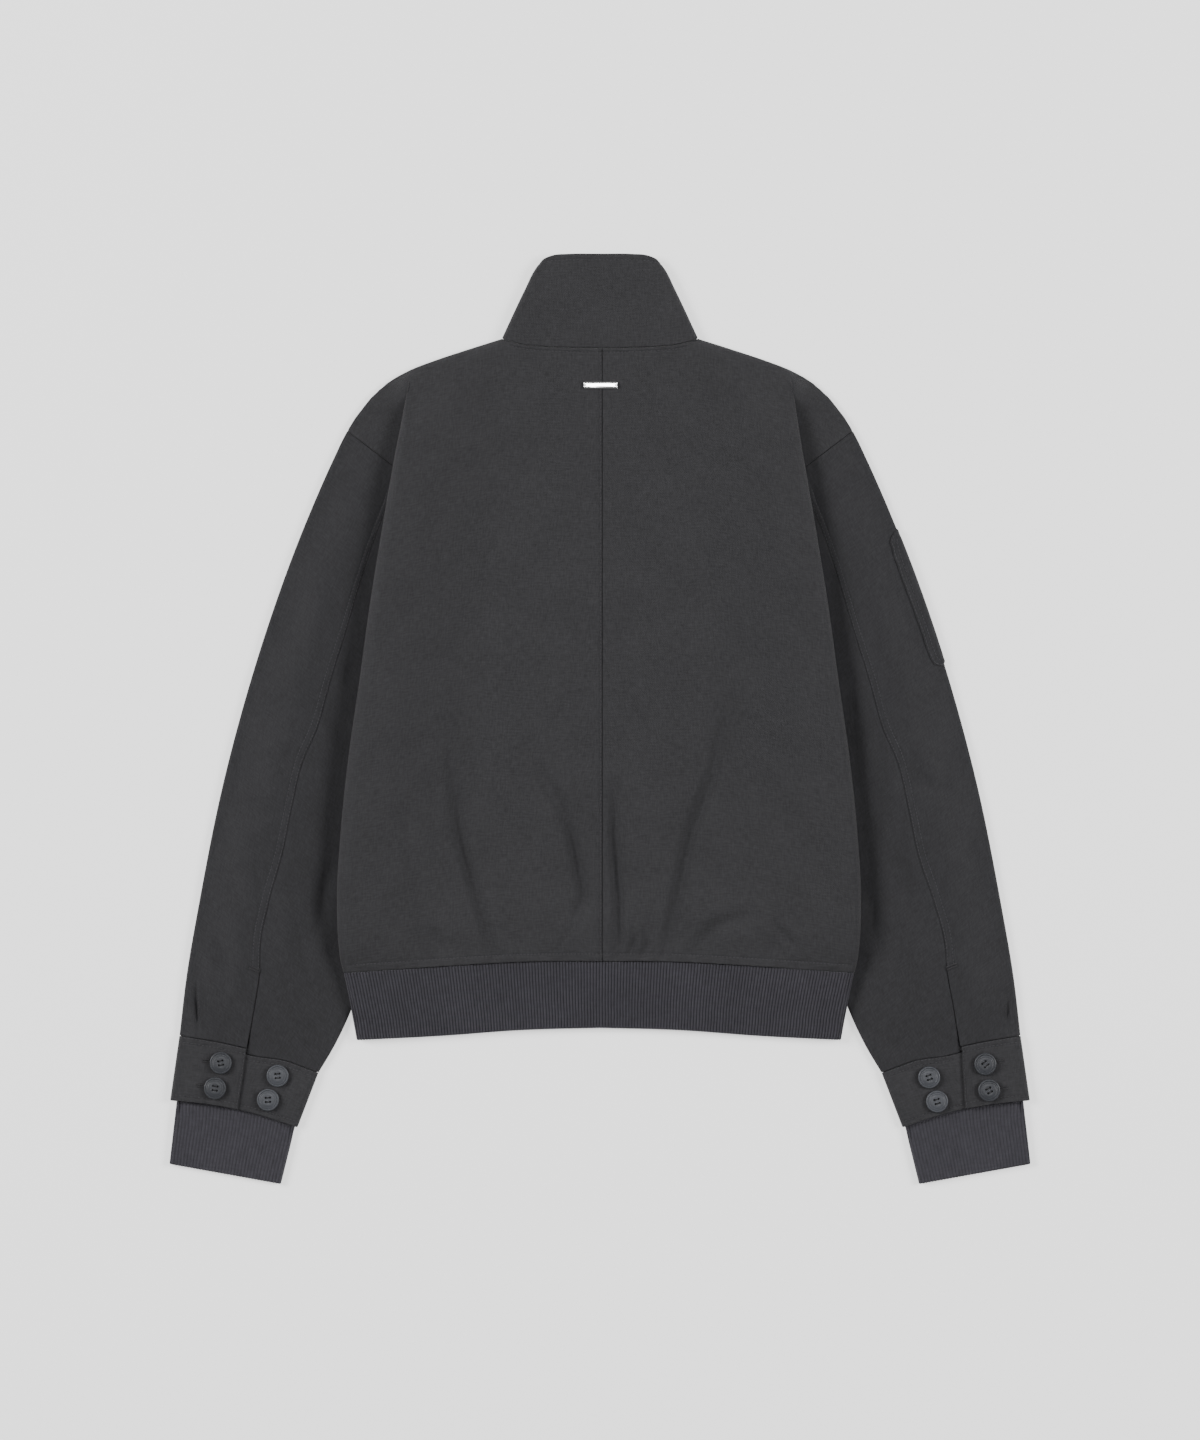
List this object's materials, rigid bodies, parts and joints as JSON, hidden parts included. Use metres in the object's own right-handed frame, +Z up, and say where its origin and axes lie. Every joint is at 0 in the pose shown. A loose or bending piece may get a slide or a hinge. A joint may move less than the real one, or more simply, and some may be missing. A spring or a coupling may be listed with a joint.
{
  "type": "bomber jacket",
  "caption": "Dark cotton-twill bomber jacket laid flat on its front, with stand collar, ribbed hem, buttoned cuffs over rib cuffs and a rounded sleeve pocket.",
  "frame": {"origin": "centre of the jacket's outline, on the surface it lies on", "axes": "+X across the jacket to the right as seen from above with the collar up, +Y from the hem to the collar, +Z up from the surface, out of the jacket's back"},
  "size_m": [0.7406, 0.7998, 0.0242],
  "materials": {
    "twill": "matt dark charcoal cotton twill",
    "rib_knit": "matt knitted rib",
    "button": "semi-gloss dark grey plastic",
    "polished_metal": "polished",
    "zip_tape": "matt woven tape"
  },
  "bodies": {
    "root": {"back_left": "twill", "back_right": "twill", "front_left": "twill", "front_right": "twill", "sleeve_outer_left": "twill", "sleeve_outer_right": "twill", "sleeve_inner_left": "twill", "sleeve_inner_right": "twill", "sleeve_pocket": "twill", "cuff_left": "twill", "cuff_right": "twill", "collar": "twill", "hem_rib": "rib_knit", "rib_cuff_left": "rib_knit", "rib_cuff_right": "rib_knit", "front_zip": "zip_tape", "button_1": "button", "button_2": "button", "button_3": "button", "button_4": "button", "button_5": "button", "button_6": "button", "button_7": "button", "button_8": "button", "neck_bar": "polished_metal"}
  },
  "joints": []
}
